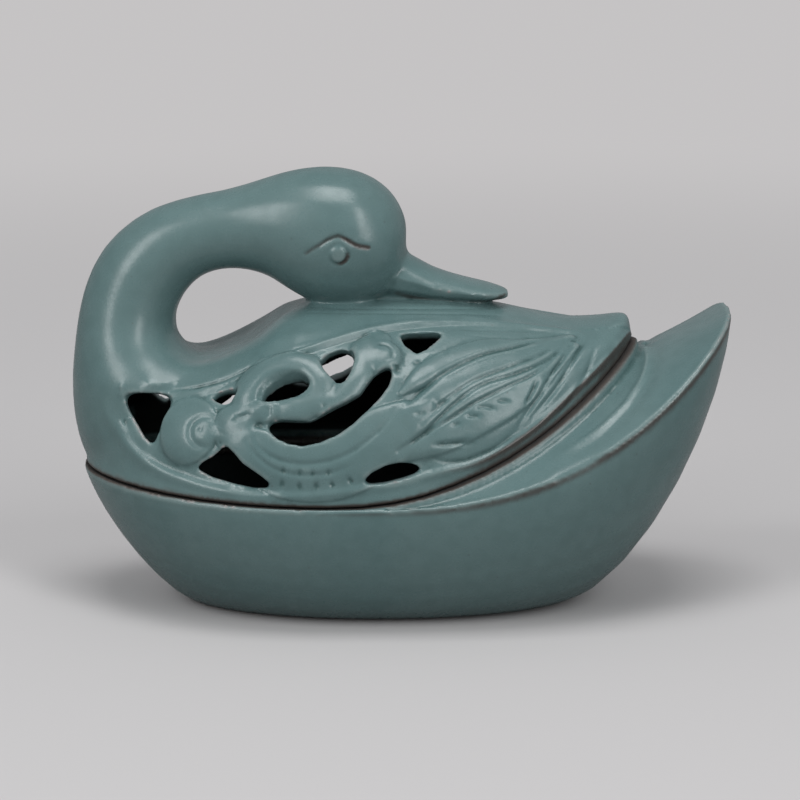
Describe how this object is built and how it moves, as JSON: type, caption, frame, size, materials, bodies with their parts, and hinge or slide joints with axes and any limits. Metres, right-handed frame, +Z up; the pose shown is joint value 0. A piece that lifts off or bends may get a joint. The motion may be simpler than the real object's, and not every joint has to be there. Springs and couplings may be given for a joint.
{
  "type": "swan-shaped incense burner",
  "caption": "Swan-shaped ceramic censer: a boat-shaped bowl with a raised tail, and a lift-off lid with pierced wings, a looped neck and a head resting on the back.",
  "frame": {"origin": "centre of the footprint of the whole piece, on the surface that it stands on", "axes": "+X from breast to tail, +Y across, +Z up; the XZ plane is the plane of symmetry"},
  "size_m": [0.1901, 0.096, 0.1277],
  "materials": {
    "glaze": "satin grey-green celadon glaze, thin and brown on edges"
  },
  "bodies": {
    "bowl": {"bowl": "glaze"},
    "lid": {"lid": "glaze"}
  },
  "joints": [
    {"name": "lid_lift", "type": "slide", "parent": "bowl", "child": "lid", "axis": [0, 0, 1], "range_m": [0, 0.06]}
  ]
}
